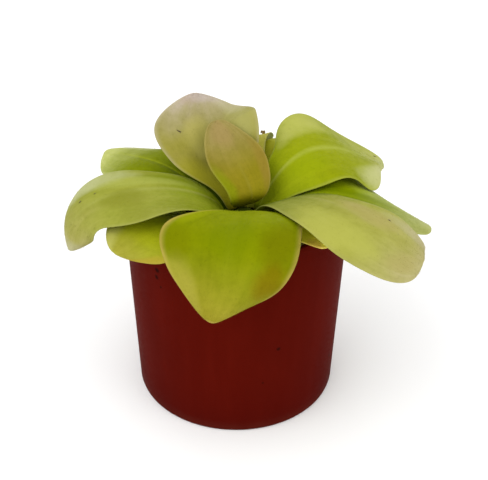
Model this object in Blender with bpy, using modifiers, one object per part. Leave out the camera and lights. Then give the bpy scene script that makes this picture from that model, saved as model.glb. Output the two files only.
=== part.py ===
"""A potted butterwort: a rosette of broad, soft leaves in a small round plastic pot.

Metres, +Z up. The origin is the middle of the pot's underside, and -Y is the plant's front.
"""

import math

import bmesh
import bpy
import numpy as np

# Pot: a plain, slightly tapered grower's pot, 9 cm across the rim
POT_HEIGHT = 0.086
POT_BASE_RADIUS = 0.0409
POT_TOP_RADIUS = 0.0441
POT_WALL = 0.0013
POT_FLOOR = 0.0016
POT_EDGE_ROUNDING = 0.0012
LIP_OVERHANG = 0.0006
LIP_HEIGHT = 0.0022
POT_STEPS = 48
DRAIN_COUNT = 6
DRAIN_RADIUS = 0.0035
DRAIN_CIRCLE = 0.026

# Potting mix, filled to a thumb's width under the rim
MIX_TOP = 0.0730
MIX_RISE = 0.0006
MIX_LUMP = 0.0005
MIX_RINGS = 7
FIT_GAP = 0.0003

# Crown: the short stem that carries every leaf, and its root stub in the mix
CROWN_X = 0.003
CROWN_Y = -0.003
CROWN_FOOT_Z = 0.0754
CROWN_FOOT_RADIUS = 0.0080
CROWN_TOP_Z = 0.0806
CROWN_TOP_RADIUS = 0.0030
CROWN_UNDERSIDE = 0.0743
ROOT_RADIUS = 0.0036
ROOT_DEPTH = 0.016
CROWN_STEPS = 24
LEAF_CLEARANCE = 0.0004

# Blades
BLADE_THICKNESS = 0.0012
BLADE_MARGIN_SHARE = 0.65
BLADE_END = 0.9995
TIP_CROWDING = 0.6
MARGIN_PHASE = 0.35
GROOVE_DEPTH = 0.0003
GROOVE_WIDTH = 0.16
NO_FOLD = (1.0, 0, 0.0)
FOLD_RUN = 0.25
LARGE_MESH = (8, 18)
SMALL_MESH = (6, 14)

# The leaves, from the lowest tier to the heart. For each leaf:
#   tier, side: how far up the crown it grows, 0 to 1, and the compass side, degrees from +X
#   rise, fall, tip: the midrib is a Bezier curve from the crown; these are its other points
#   left, right: half-widths from base to tip, before the tip is rounded off by "blunt"
#   roll: turn of the blade about its midrib, degrees, from base to tip
#   curl_left, curl_right: bend of each half across the blade, degrees, up is positive
#   wave: height, count and phase of the waves along the margins
#   fold: a crease in the right half: its place across, its angle, and the place along where
#     it starts to run out to the margin
LEAVES = {
    "leaf_left_low": dict(
        tier=0.0, side=218, mesh=SMALL_MESH, blunt=8, wave=(0.0004, 2.0, 0.7),
        rise=(-0.011, -0.014, 0.082), fall=(-0.034, -0.028, 0.100), tip=(-0.044, -0.036, 0.082),
        left=(0.003, 0.011, 0.018, 0.022, 0.0195), right=(0.003, 0.009, 0.014, 0.0155, 0.015),
        roll=(0, 2, -8), curl_left=(0, -9, -32), curl_right=(0, -8, -14),
    ),
    "leaf_right": dict(
        tier=0.0, side=350, mesh=SMALL_MESH, blunt=9, wave=(0.0004, 2.0, 0.3),
        rise=(0.024, -0.007, 0.100), fall=(0.045, -0.013, 0.094), tip=(0.074, -0.014, 0.080),
        left=(0.004, 0.011, 0.0185, 0.0185, 0.015), right=(0.004, 0.0095, 0.013, 0.014, 0.0155),
        roll=(0, -1, -15), curl_left=(0, -4, -28), curl_right=(0, -5, -14),
    ),
    "leaf_back_left": dict(
        tier=0.0, side=120, mesh=SMALL_MESH, blunt=6, wave=(0.0004, 2.0, 0.8),
        rise=(-0.007, 0.014, 0.090), fall=(-0.018, 0.036, 0.095), tip=(-0.025, 0.052, 0.080),
        left=(0.004, 0.012, 0.016, 0.016, 0.013), right=(0.004, 0.012, 0.016, 0.016, 0.013),
        roll=(0, 0, 0), curl_left=(0, -6, -8), curl_right=(0, -6, -8),
    ),
    "leaf_right_low": dict(
        tier=0.0, side=300, mesh=SMALL_MESH, blunt=6, wave=(0.0004, 2.0, 0.8),
        rise=(0.006, -0.010, 0.082), fall=(0.030, -0.033, 0.096), tip=(0.030, -0.044, 0.090),
        left=(0.002, 0.0025, 0.005, 0.007, 0.0085), right=(0.0025, 0.005, 0.007, 0.008, 0.0085),
        roll=(0, 1, 0), curl_left=(-1, -8, -10), curl_right=(-1, -8, -8),
    ),
    "leaf_left_back": dict(
        tier=0.15, side=160, mesh=SMALL_MESH, blunt=10, wave=(0.0004, 2.0, 0.8),
        rise=(-0.026, 0.007, 0.100), fall=(-0.036, 0.012, 0.094), tip=(-0.056, 0.042, 0.082),
        left=(0.004, 0.0065, 0.010, 0.014, 0.0115), right=(0.004, 0.009, 0.0125, 0.012, 0.0135),
        roll=(0, 6, -13), curl_left=(0, -11, -38), curl_right=(0, 12, -48),
    ),
    "leaf_back_right": dict(
        tier=0.1, side=55, mesh=SMALL_MESH, blunt=6, wave=(0.0004, 2.0, 1.0),
        rise=(0.014, 0.012, 0.091), fall=(0.028, 0.036, 0.095), tip=(0.037, 0.053, 0.079),
        left=(0.004, 0.011, 0.016, 0.016, 0.013), right=(0.004, 0.0115, 0.016, 0.016, 0.013),
        roll=(0, 1, 0), curl_left=(0, -5, -8), curl_right=(0, -6, -8),
    ),
    "leaf_left": dict(
        tier=0.4, side=188, mesh=LARGE_MESH, blunt=14, wave=(0.0004, 3.0, 0.2),
        rise=(-0.008, -0.006, 0.100), fall=(-0.068, -0.020, 0.103), tip=(-0.062, -0.024, 0.075),
        left=(0.004, 0.0205, 0.027, 0.012, 0.0145), right=(0.003, 0.009, 0.0135, 0.0205, 0.0255),
        roll=(-6, -2, -10), curl_left=(-1, 20, -107), curl_right=(1, 5, -74),
    ),
    "leaf_back": dict(
        tier=0.3, side=85, mesh=SMALL_MESH, blunt=6, wave=(0.0004, 2.0, 0.2),
        rise=(0.003, 0.012, 0.096), fall=(0.000, 0.040, 0.096), tip=(0.014, 0.054, 0.082),
        left=(0.003, 0.006, 0.0085, 0.010, 0.0115), right=(0.004, 0.008, 0.008, 0.0075, 0.008),
        roll=(-1, 2, -17), curl_left=(2, 12, -1), curl_right=(2, 15, 19),
    ),
    "leaf_front": dict(
        tier=0.5, side=262, mesh=LARGE_MESH, blunt=11, wave=(0.0004, 3.0, 0.0),
        rise=(0.000, -0.038, 0.114), fall=(-0.001, -0.070, 0.100), tip=(-0.008, -0.066, 0.074),
        left=(0.0045, 0.021, 0.024, 0.0215, 0.013), right=(0.003, 0.005, 0.0235, 0.0205, 0.0095),
        roll=(6, 11, -6), curl_left=(1, -32, -67), curl_right=(0, 43, -28),
    ),
    "leaf_right_front": dict(
        tier=0.55, side=322, mesh=LARGE_MESH, blunt=10, wave=(0.0004, 3.0, 0.4),
        rise=(0.027, -0.018, 0.113), fall=(0.056, -0.052, 0.096), tip=(0.064, -0.054, 0.091),
        left=(0.004, 0.0055, 0.0135, 0.0195, 0.022), right=(0.004, 0.016, 0.0235, 0.026, 0.024),
        roll=(-15, -7, -9), curl_left=(1, -10, -41), curl_right=(4, -4, -2),
    ),
    "leaf_right_back": dict(
        tier=0.65, side=20, mesh=LARGE_MESH, blunt=13, wave=(0.002, 2.0, 0.0),
        rise=(0.021, 0.002, 0.117), fall=(0.044, 0.030, 0.091), tip=(0.060, 0.025, 0.085),
        left=(0.003, 0.010, 0.025, 0.0275, 0.0235), right=(0.0035, 0.0175, 0.0225, 0.0245, 0.013),
        roll=(8, 5, -11), curl_left=(1, -2, 27), curl_right=(-4, -13, -31),
    ),
    "leaf_back_upright": dict(
        tier=0.6, side=118, mesh=LARGE_MESH, blunt=7, wave=(0.0003, 2.0, 0.0),
        rise=(0.000, 0.000, 0.094), fall=(-0.016, 0.022, 0.102), tip=(-0.016, 0.032, 0.114),
        left=(0.004, 0.009, 0.0215, 0.0235, 0.010), right=(0.004, 0.011, 0.0195, 0.022, 0.0175),
        roll=(-2, 4, 10), curl_left=(0, 12, -7), curl_right=(1, 4, 18),
        fold=(0.1, 45, 0.65),
    ),
    "leaf_young": dict(
        tier=1.0, side=98, mesh=SMALL_MESH, blunt=7, wave=(0.0002, 2.0, 0.0),
        rise=(0.010, -0.023, 0.098), fall=(0.004, -0.005, 0.092), tip=(-0.008, 0.020, 0.108),
        left=(0.004, 0.0085, 0.010, 0.0135, 0.013), right=(0.0035, 0.0045, 0.0095, 0.012, 0.008),
        roll=(-3, -9, -6), curl_left=(-1, 20, 41), curl_right=(0, 49, 46),
    ),
}

LEAF_GREEN = (0.30, 0.42, 0.03)
LEAF_PALE = (0.46, 0.52, 0.12)
LEAF_BLUSH = (0.48, 0.36, 0.16)
POT_BROWN = (0.09, 0.012, 0.006)
MIX_BROWN = (0.035, 0.022, 0.014)
CROWN_GREEN = (0.25, 0.28, 0.05)


def clear_scene():
    for item in list(bpy.data.objects):
        bpy.data.objects.remove(item, do_unlink=True)


def collection_named(name, hidden=False):
    group = bpy.data.collections.new(name)
    bpy.context.scene.collection.children.link(group)
    group.hide_render = hidden
    return group


def material_named(name, colour, roughness):
    material = bpy.data.materials.new(name)
    material.use_nodes = True
    shader = material.node_tree.nodes["Principled BSDF"]
    shader.inputs["Base Color"].default_value = (*colour, 1.0)
    shader.inputs["Roughness"].default_value = roughness
    shader.inputs["Metallic"].default_value = 0.0
    material.diffuse_color = (*colour, 1.0)
    return material


def object_from(bm, name, group):
    mesh = bpy.data.meshes.new(name)
    bm.to_mesh(mesh)
    bm.free()
    item = bpy.data.objects.new(name, mesh)
    group.objects.link(item)
    return item


def turned(name, profile, steps, group):
    """A solid of revolution about Z. The profile runs down its outer side and ends on the axis."""
    bm = bmesh.new()
    corners = [bm.verts.new((radius, 0.0, height)) for radius, height in profile]
    for upper, lower in zip(corners, corners[1:]):
        bm.edges.new((upper, lower))
    item = object_from(bm, name, group)
    screw = item.modifiers.new("Turn", "SCREW")
    screw.steps = steps
    screw.render_steps = steps
    screw.use_merge_vertices = True
    screw.merge_threshold = 0.00001
    screw.use_smooth_shade = True
    return item


def applied(item):
    """Gives the object its evaluated mesh and drops the modifiers."""
    graph = bpy.context.evaluated_depsgraph_get()
    mesh = bpy.data.meshes.new_from_object(item.evaluated_get(graph))
    item.modifiers.clear()
    item.data = mesh
    return item


def cut(item, cutter):
    hole = item.modifiers.new("Cut " + cutter.name, "BOOLEAN")
    hole.operation = "DIFFERENCE"
    hole.solver = "EXACT"
    hole.object = cutter


def round_cutter(name, radius, low, high, place, group, steps):
    bm = bmesh.new()
    bmesh.ops.create_cone(
        bm, cap_ends=True, segments=steps, radius1=radius, radius2=radius, depth=high - low
    )
    bmesh.ops.translate(bm, verts=bm.verts, vec=(place[0], place[1], (low + high) / 2))
    item = object_from(bm, name, group)
    item.hide_render = True
    item.display_type = "WIRE"
    return item


def pot_radius(height):
    """Outer radius of the pot's wall at this height."""
    return POT_BASE_RADIUS + (POT_TOP_RADIUS - POT_BASE_RADIUS) * height / POT_HEIGHT


def make_pot(group, cutters):
    """Moulded pot: tapered wall, small rolled lip, flat floor with drainage holes."""
    inner_low = POT_FLOOR + POT_EDGE_ROUNDING
    lip_low = POT_HEIGHT - LIP_HEIGHT
    lip_radius = POT_TOP_RADIUS + LIP_OVERHANG
    inner_top = POT_TOP_RADIUS - POT_WALL
    profile = [
        (0.0, POT_FLOOR),
        (pot_radius(0.0) - POT_WALL - POT_EDGE_ROUNDING, POT_FLOOR),
        (pot_radius(inner_low) - POT_WALL, inner_low),
        (inner_top, POT_HEIGHT - POT_WALL / 2),
        (inner_top + POT_WALL / 3, POT_HEIGHT),
        (lip_radius - LIP_OVERHANG / 2, POT_HEIGHT),
        (lip_radius, POT_HEIGHT - LIP_OVERHANG),
        (lip_radius, lip_low),
        (pot_radius(lip_low), lip_low - LIP_OVERHANG),
        (pot_radius(POT_EDGE_ROUNDING), POT_EDGE_ROUNDING),
        (pot_radius(0.0) - POT_EDGE_ROUNDING / 3, POT_EDGE_ROUNDING / 3),
        (pot_radius(0.0) - POT_EDGE_ROUNDING, 0.0),
        (0.0, 0.0),
    ]
    pot = turned("pot", profile, POT_STEPS, group)
    for index in range(DRAIN_COUNT):
        angle = 2 * math.pi * index / DRAIN_COUNT
        place = (DRAIN_CIRCLE * math.cos(angle), DRAIN_CIRCLE * math.sin(angle))
        name = f"drain_cutter_{index + 1}"
        low, high = -POT_FLOOR, 2 * POT_FLOOR
        cut(pot, round_cutter(name, DRAIN_RADIUS, low, high, place, cutters, 12))
    return pot


def make_mix(group, cutters):
    """Potting mix: fills the pot, with a lumpy top and a plain hole for the root stub."""
    low = POT_FLOOR + FIT_GAP
    foot = POT_FLOOR + POT_EDGE_ROUNDING

    def wall(height):
        return pot_radius(height) - POT_WALL - FIT_GAP

    edge_radius = wall(MIX_TOP)
    rings = [ring / MIX_RINGS for ring in range(MIX_RINGS)]
    top = [(edge_radius * ring, MIX_TOP + MIX_RISE * (1 - ring**2)) for ring in rings]
    profile = top + [
        (edge_radius, MIX_TOP),
        (wall(foot), foot),
        (wall(0.0) - POT_EDGE_ROUNDING, low),
        (0.0, low),
    ]
    mix = applied(turned("potting_mix", profile, POT_STEPS, group))
    for vertex in mix.data.vertices:
        x, y, z = vertex.co
        if z < MIX_TOP or math.hypot(x, y) > edge_radius - FIT_GAP:
            continue
        lumps = math.sin(x * 520 + 1.3 * math.sin(y * 310)) * math.cos(y * 470 + x * 190)
        apart = math.hypot(x - CROWN_X, y - CROWN_Y) / CROWN_FOOT_RADIUS
        vertex.co.z = z + MIX_LUMP * lumps * min(1.0, apart / 2)
    hole = ROOT_RADIUS + FIT_GAP
    depth = MIX_TOP - ROOT_DEPTH - 2 * FIT_GAP
    place = (CROWN_X, CROWN_Y)
    cut(mix, round_cutter("root_hole", hole, depth, POT_HEIGHT, place, cutters, CROWN_STEPS))
    return mix


def crown_radius(tier):
    """Radius of the crown at a leaf's tier, 0 at its foot and 1 at its top."""
    return CROWN_FOOT_RADIUS + (CROWN_TOP_RADIUS - CROWN_FOOT_RADIUS) * tier


def make_crown(group):
    """Short stem: a cone above the mix with a rounded top, and a root stub below."""
    root_low = MIX_TOP - ROOT_DEPTH
    profile = [
        (0.0, CROWN_TOP_Z + 0.2 * CROWN_TOP_RADIUS),
        (0.5 * CROWN_TOP_RADIUS, CROWN_TOP_Z + 0.15 * CROWN_TOP_RADIUS),
        (CROWN_TOP_RADIUS - FIT_GAP, CROWN_TOP_Z),
        (CROWN_FOOT_RADIUS, CROWN_FOOT_Z),
        (0.94 * CROWN_FOOT_RADIUS, CROWN_UNDERSIDE + FIT_GAP),
        (ROOT_RADIUS, CROWN_UNDERSIDE),
        (ROOT_RADIUS, root_low + ROOT_RADIUS),
        (0.5 * ROOT_RADIUS, root_low + 0.3 * ROOT_RADIUS),
        (0.0, root_low),
    ]
    crown = applied(turned("crown", profile, CROWN_STEPS, group))
    for vertex in crown.data.vertices:
        vertex.co.x += CROWN_X
        vertex.co.y += CROWN_Y
    return crown


def eased(stations, t):
    """A smooth curve through evenly spaced values, from t = 0 to t = 1."""
    ends = (2 * stations[0] - stations[1], *stations, 2 * stations[-1] - stations[-2])
    values = np.array(ends, float)
    reach = t * (len(stations) - 1)
    index = np.minimum(reach.astype(int), len(stations) - 2)
    f = reach - index
    a, b, c, d = (values[index + step] for step in range(4))
    return b + 0.5 * f * (c - a + f * (2 * a - 5 * b + 4 * c - d + f * (3 * (b - c) + d - a)))


def unit(vectors):
    return vectors / np.linalg.norm(vectors, axis=-1, keepdims=True)


def leaf_root(leaf):
    """Where the leaf's midrib leaves the crown."""
    tier, angle = leaf["tier"], math.radians(leaf["side"])
    reach = crown_radius(tier) + LEAF_CLEARANCE + BLADE_THICKNESS / 2
    height = CROWN_FOOT_Z + (CROWN_TOP_Z - CROWN_FOOT_Z) * tier
    return (CROWN_X + reach * math.cos(angle), CROWN_Y + reach * math.sin(angle), height)


def leaf_surface(leaf, across, length):
    """Points of the blade's middle surface; across is -1 to 1, left positive, length 0 to 1."""
    root = leaf_root(leaf)
    a, b, c, d = (np.array(point) for point in (root, leaf["rise"], leaf["fall"], leaf["tip"]))
    t = BLADE_END * (length + TIP_CROWDING * (np.sin(length * math.pi / 2) - length))
    k = t[:, None]
    midrib = (1 - k) ** 3 * a + 3 * (1 - k) ** 2 * k * b + 3 * (1 - k) * k**2 * c + k**3 * d
    along = unit((1 - k) ** 2 * (b - a) + 2 * (1 - k) * k * (c - b) + k**2 * (d - c))

    heading = d - a
    level = unit(np.array([-heading[1], heading[0], 0.0]))
    side = unit(level - (along @ level)[:, None] * along)
    up = np.cross(along, side)
    roll = np.radians(eased(leaf["roll"], t))[:, None]
    side, up = side * np.cos(roll) + up * np.sin(roll), up * np.cos(roll) - side * np.sin(roll)

    on_left = across > 0
    half = np.where(on_left, eased(leaf["left"], t), eased(leaf["right"], t))
    half = half * np.sqrt(1 - t ** leaf["blunt"])
    curl = np.where(on_left, eased(leaf["curl_left"], t), eased(leaf["curl_right"], t))
    bend = np.radians(curl) * np.abs(across)
    out = half * across * np.sinc(bend / math.pi)
    lift = half * np.abs(across) * np.sin(bend / 2) * np.sinc(bend / 2 / math.pi)

    place, angle, leave = leaf.get("fold", NO_FOLD)
    crease = place + (1 - place) * np.clip((t - leave) / FOLD_RUN, 0, 1)
    flap = half * np.clip(-across - crease, 0, None)
    lean = math.radians(angle) * np.clip(t / FOLD_RUN, 0, 1)
    out = out + flap * (1 - np.cos(lean))
    lift = lift + flap * np.sin(lean)

    height, count, phase = leaf["wave"]
    swing = np.sin(2 * math.pi * (count * t + phase + np.where(on_left, 0.0, MARGIN_PHASE)))
    lift = lift + height * across**2 * swing * np.sin(math.pi * t)
    lift = lift - GROOVE_DEPTH * np.exp(-((across / GROOVE_WIDTH) ** 2)) * np.sin(math.pi * t)
    return midrib + out[:, None] * side + lift[:, None] * up


def make_leaf(name, leaf, group):
    """One blade: a grid bent to the leaf's shape, then thickened, thinner at the margin."""
    across_faces, length_faces = leaf["mesh"]
    bm = bmesh.new()
    bmesh.ops.create_grid(bm, x_segments=across_faces, y_segments=length_faces, size=1.0)
    bm.verts.ensure_lookup_table()
    flat = np.array([vertex.co for vertex in bm.verts])
    points = leaf_surface(leaf, -flat[:, 0], (flat[:, 1] + 1) / 2)
    for vertex, point in zip(bm.verts, points):
        vertex.co = point
    bmesh.ops.triangulate(bm, faces=bm.faces)
    blade = object_from(bm, name, group)
    blade.data.shade_smooth()
    body = blade.vertex_groups.new(name="body")
    for index, across in enumerate(flat[:, 0]):
        body.add([index], 1 - across**2, "REPLACE")
    skin = blade.modifiers.new("Thickness", "SOLIDIFY")
    skin.thickness = BLADE_THICKNESS
    skin.offset = 0.0
    skin.use_even_offset = False
    skin.vertex_group = body.name
    skin.thickness_vertex_group = BLADE_MARGIN_SHARE
    return blade


def finish_with(item, material):
    item.data.materials.clear()
    item.data.materials.append(material)


clear_scene()
plant = collection_named("potted_butterwort")
tools = collection_named("cutters", hidden=True)

pot = make_pot(plant, tools)
finish_with(pot, material_named("pot_plastic", POT_BROWN, 0.5))
potting_mix = make_mix(plant, tools)
finish_with(potting_mix, material_named("potting_mix", MIX_BROWN, 0.95))
crown = make_crown(plant)
finish_with(crown, material_named("crown_tissue", CROWN_GREEN, 0.5))

leaf_colours = {
    "leaf_back_upright": LEAF_BLUSH,
    "leaf_young": LEAF_BLUSH,
    "leaf_right_front": LEAF_PALE,
    "leaf_left": LEAF_PALE,
}
for leaf_name, leaf_sizes in LEAVES.items():
    blade_object = make_leaf(leaf_name, leaf_sizes, plant)
    colour = leaf_colours.get(leaf_name, LEAF_GREEN)
    finish_with(blade_object, material_named(leaf_name, colour, 0.45))
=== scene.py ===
"""A potted butterwort: a rosette of broad, greasy-looking leaves in a small brown plastic pot.

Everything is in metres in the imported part's own frame: +Z up, -Y the plant's front, and the
origin in the middle of the pot's underside. The leaves are grown again here at a finer step,
from the same few sizes as the solids, and get their tissue, glands and tints.
"""

import math
import random

import bmesh
import bpy
import numpy as np
from mathutils import Matrix, Vector


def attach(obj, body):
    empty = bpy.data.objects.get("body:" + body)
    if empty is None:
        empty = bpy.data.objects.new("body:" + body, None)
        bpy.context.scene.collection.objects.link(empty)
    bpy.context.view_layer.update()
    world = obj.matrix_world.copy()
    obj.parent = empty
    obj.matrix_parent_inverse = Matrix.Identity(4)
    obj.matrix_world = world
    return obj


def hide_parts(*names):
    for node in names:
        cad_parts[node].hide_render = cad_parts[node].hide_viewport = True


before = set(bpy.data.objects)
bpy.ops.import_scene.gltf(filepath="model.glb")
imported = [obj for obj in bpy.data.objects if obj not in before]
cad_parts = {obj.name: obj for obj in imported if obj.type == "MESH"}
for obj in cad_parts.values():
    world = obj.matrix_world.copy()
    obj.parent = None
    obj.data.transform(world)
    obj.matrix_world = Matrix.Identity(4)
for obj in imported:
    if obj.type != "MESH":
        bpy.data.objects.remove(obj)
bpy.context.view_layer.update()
scene = bpy.context.scene


# Camera: stands in front of the plant and looks down on it by 33 degrees, as the photographer
# did, with the long end of a zoom so that the pot's sides hardly converge
camera_data = bpy.data.cameras.new("front_view")
camera_data.lens = 73.77
camera_data.sensor_width = 36.0
camera = bpy.data.objects.new("front_view", camera_data)
tilt = Matrix.Rotation(math.radians(57.1), 4, "X")
level = Matrix.Rotation(math.radians(0.54), 4, "Z")
camera.matrix_world = Matrix.Translation((0.0030, -0.33585, 0.28207)) @ tilt @ level
scene.collection.objects.link(camera)
scene.camera = camera


# Studio: a white sweep under a bright overcast sky, one broad lamp above on the left and a
# weaker one on the right, so that shadows stay soft
def studio_lamp(name, place, aim, size, watts):
    lamp_data = bpy.data.lights.new(name, "AREA")
    lamp_data.shape = "DISK"
    lamp_data.size = size
    lamp_data.energy = watts
    lamp = bpy.data.objects.new(name, lamp_data)
    lamp.location = place
    lamp.rotation_euler = (Vector(aim) - Vector(place)).to_track_quat("-Z", "Y").to_euler()
    scene.collection.objects.link(lamp)


studio_lamp("lamp_left", (-0.45, -0.45, 0.75), aim=(0.0, 0.0, 0.08), size=0.80, watts=3.2)
studio_lamp("lamp_right", (0.60, -0.45, 0.45), aim=(0.0, 0.0, 0.06), size=0.65, watts=1.5)

sky = bpy.data.worlds.new("overcast")
sky.use_nodes = True
sky.node_tree.nodes["Background"].inputs["Color"].default_value = (1.0, 1.0, 1.0, 1.0)
sky.node_tree.nodes["Background"].inputs["Strength"].default_value = 1.03
scene.world = sky
scene.view_settings.view_transform = "Standard"


def paint(red, green, blue):
    """A tone as it looks on screen, 0 to 255, as the linear colour that Blender works in."""
    shares = (red / 255, green / 255, blue / 255)
    linear = [s / 12.92 if s <= 0.04045 else ((s + 0.055) / 1.055) ** 2.4 for s in shares]
    return (*linear, 1.0)


def finish(name, roughness, specular):
    """A material with its shader, ready for nodes: (material, node tree, shader)."""
    material = bpy.data.materials.new(name)
    material.use_nodes = True
    shader = material.node_tree.nodes["Principled BSDF"]
    shader.inputs["Roughness"].default_value = roughness
    shader.inputs["Specular IOR Level"].default_value = specular
    return material, material.node_tree, shader


def feed(tree, socket, value):
    """Puts a number, a colour or another node's output into a socket."""
    if isinstance(value, bpy.types.NodeSocket):
        tree.links.new(value, socket)
    else:
        socket.default_value = value


def blend(tree, share, first, second, kind="MIX"):
    """Lays the second colour over the first by this share."""
    node = tree.nodes.new("ShaderNodeMix")
    node.data_type = "RGBA"
    node.blend_type = kind
    node.clamp_factor = True
    feed(tree, node.inputs[0], share)
    feed(tree, node.inputs[6], first)
    feed(tree, node.inputs[7], second)
    return node.outputs[2]


def own_place(tree):
    """Where each point of the piece lies, so that a pattern stays on it."""
    return tree.nodes.new("ShaderNodeTexCoord").outputs["Object"]


EVEN = (1, 1, 1)


def cloud(tree, coordinates, stretch, scale, detail=3.0, rough=0.55):
    """Soft noise, 0 to 1, on coordinates that are first stretched."""
    mapping = tree.nodes.new("ShaderNodeMapping")
    tree.links.new(coordinates, mapping.inputs["Vector"])
    mapping.inputs["Scale"].default_value = stretch
    noise = tree.nodes.new("ShaderNodeTexNoise")
    tree.links.new(mapping.outputs[0], noise.inputs["Vector"])
    noise.inputs["Scale"].default_value = scale
    noise.inputs["Detail"].default_value = detail
    noise.inputs["Roughness"].default_value = rough
    return noise.outputs[0]


def dressed(name, mesh, materials):
    """Gives a mesh its materials and smooth faces, and stands it in the scene as a piece."""
    for material in materials:
        mesh.materials.append(material)
    mesh.polygons.foreach_set("use_smooth", [True] * len(mesh.polygons))
    piece = bpy.data.objects.new(name, mesh)
    scene.collection.objects.link(piece)
    return piece


def placed(name, bm, materials):
    """Turns a bmesh into a piece with its materials."""
    mesh = bpy.data.meshes.new(name)
    bm.to_mesh(mesh)
    bm.free()
    return dressed(name, mesh, materials)


SWEEP_HALF = 1.5
sweep_paper, tree, shader = finish("sweep_paper", roughness=0.9, specular=0.1)
grain = cloud(tree, own_place(tree), EVEN, scale=6.0)
white = blend(tree, grain, paint(252, 252, 252), paint(255, 255, 255))
tree.links.new(white, shader.inputs["Base Color"])
bm = bmesh.new()
bmesh.ops.create_grid(bm, x_segments=2, y_segments=2, size=SWEEP_HALF)
floor = placed("floor", bm, [sweep_paper])


# Pot: a thin, slightly tapered grower's pot, moulded in red-brown plastic. It has a small
# rolled lip, a flat floor with six drainage holes, and a dull, finely scuffed skin
POT_HEIGHT, POT_BASE, POT_TOP = 0.086, 0.0409, 0.0441
POT_WALL, POT_FLOOR, POT_EDGE = 0.0013, 0.0016, 0.0012
LIP_OUT, LIP_DEEP = 0.0006, 0.0022
POT_ROUND = 144
DRAIN_HOLES, DRAIN_RING, DRAIN_RADIUS, DRAIN_CUT = 6, 0.026, 0.0035, 0.008
# Radii of the two loops on the pot's floor, inside and outside the drainage holes
FLOOR_LOOPS = (0.012, 0.034)
# Soil splashed on the wall and dried: compass side in degrees, height and reach of each speck
SOIL_SPECKS = (
    (-131.6, 0.0722, 0.0014), (-132.3, 0.0688, 0.0012), (-130.0, 0.0650, 0.0006),
    (-67.1, 0.0408, 0.0010), (-22.6, 0.0192, 0.0009), (-75.0, 0.0250, 0.0006),
    (48.0, 0.0610, 0.0006), (120.0, 0.0300, 0.0005), (170.0, 0.0540, 0.0006),
)


def maths(tree, kind, first, second=0.0):
    """One sum, product or other step of reckoning between two values."""
    node = tree.nodes.new("ShaderNodeMath")
    node.operation = kind
    feed(tree, node.inputs[0], first)
    feed(tree, node.inputs[1], second)
    return node.outputs[0]


def band(tree, value, low, high, start=0.0, end=1.0):
    """Goes smoothly from start to end while the value goes from low to high."""
    node = tree.nodes.new("ShaderNodeMapRange")
    node.interpolation_type = "SMOOTHSTEP"
    for socket, number in zip(node.inputs, (value, low, high, start, end)):
        feed(tree, socket, number)
    return node.outputs[0]


def relief(tree, shader, height, depth):
    """Bumps of this real depth, in metres."""
    bump = tree.nodes.new("ShaderNodeBump")
    bump.inputs["Distance"].default_value = depth
    tree.links.new(height, bump.inputs["Height"])
    tree.links.new(bump.outputs[0], shader.inputs["Normal"])


def parted(tree, vector):
    """The three numbers that a vector is made of."""
    node = tree.nodes.new("ShaderNodeSeparateXYZ")
    tree.links.new(vector, node.inputs[0])
    return node.outputs


def pot_side(height):
    """Outer radius of the pot's wall at this height."""
    return POT_BASE + (POT_TOP - POT_BASE) * height / POT_HEIGHT


def spun(bm, outline, steps):
    """Spins a half outline about the pot's axis; its points on the axis become poles."""
    corners = [bm.verts.new((radius, 0.0, height)) for radius, height in outline]
    edges = [bm.edges.new(pair) for pair in zip(corners, corners[1:])]
    bmesh.ops.spin(
        bm, geom=corners + edges, cent=(0, 0, 0), axis=(0, 0, 1), angle=2 * math.pi,
        steps=steps, use_merge=True,
    )
    bmesh.ops.remove_doubles(bm, verts=bm.verts, dist=0.000002)
    bmesh.ops.dissolve_degenerate(bm, edges=bm.edges, dist=0.000001)
    bmesh.ops.recalc_face_normals(bm, faces=bm.faces)


inner_low = POT_FLOOR + POT_EDGE
lip_low = POT_HEIGHT - LIP_DEEP
inner_top = POT_TOP - POT_WALL
lip_edge = POT_TOP + LIP_OUT
wall_steps = np.linspace(POT_EDGE, lip_low - LIP_OUT, 9)
bm = bmesh.new()
spun(
    bm,
    [
        *[(loop, 0.0) for loop in (0.0, *FLOOR_LOOPS)],
        (pot_side(0) - POT_EDGE, 0.0),
        (pot_side(0) - POT_EDGE / 2, POT_EDGE / 8),
        (pot_side(0) - POT_EDGE / 6, POT_EDGE / 2.5),
        *[(pot_side(height), height) for height in wall_steps],
        (pot_side(lip_low) + LIP_OUT * 0.5, lip_low - LIP_OUT * 0.55),
        (lip_edge, lip_low),
        (lip_edge, POT_HEIGHT - LIP_OUT),
        (lip_edge - LIP_OUT * 0.3, POT_HEIGHT - LIP_OUT * 0.3),
        (lip_edge - LIP_OUT, POT_HEIGHT),
        (inner_top + POT_WALL / 3, POT_HEIGHT),
        (inner_top + POT_WALL / 12, POT_HEIGHT - POT_WALL / 4),
        (inner_top, POT_HEIGHT - POT_WALL / 2),
        (pot_side(inner_low) - POT_WALL, inner_low),
        (pot_side(0) - POT_WALL - POT_EDGE / 2, POT_FLOOR + POT_EDGE / 6),
        (pot_side(0) - POT_WALL - POT_EDGE, POT_FLOOR),
        *[(loop, POT_FLOOR) for loop in (*reversed(FLOOR_LOOPS), 0.0)],
    ],
    POT_ROUND,
)

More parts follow.
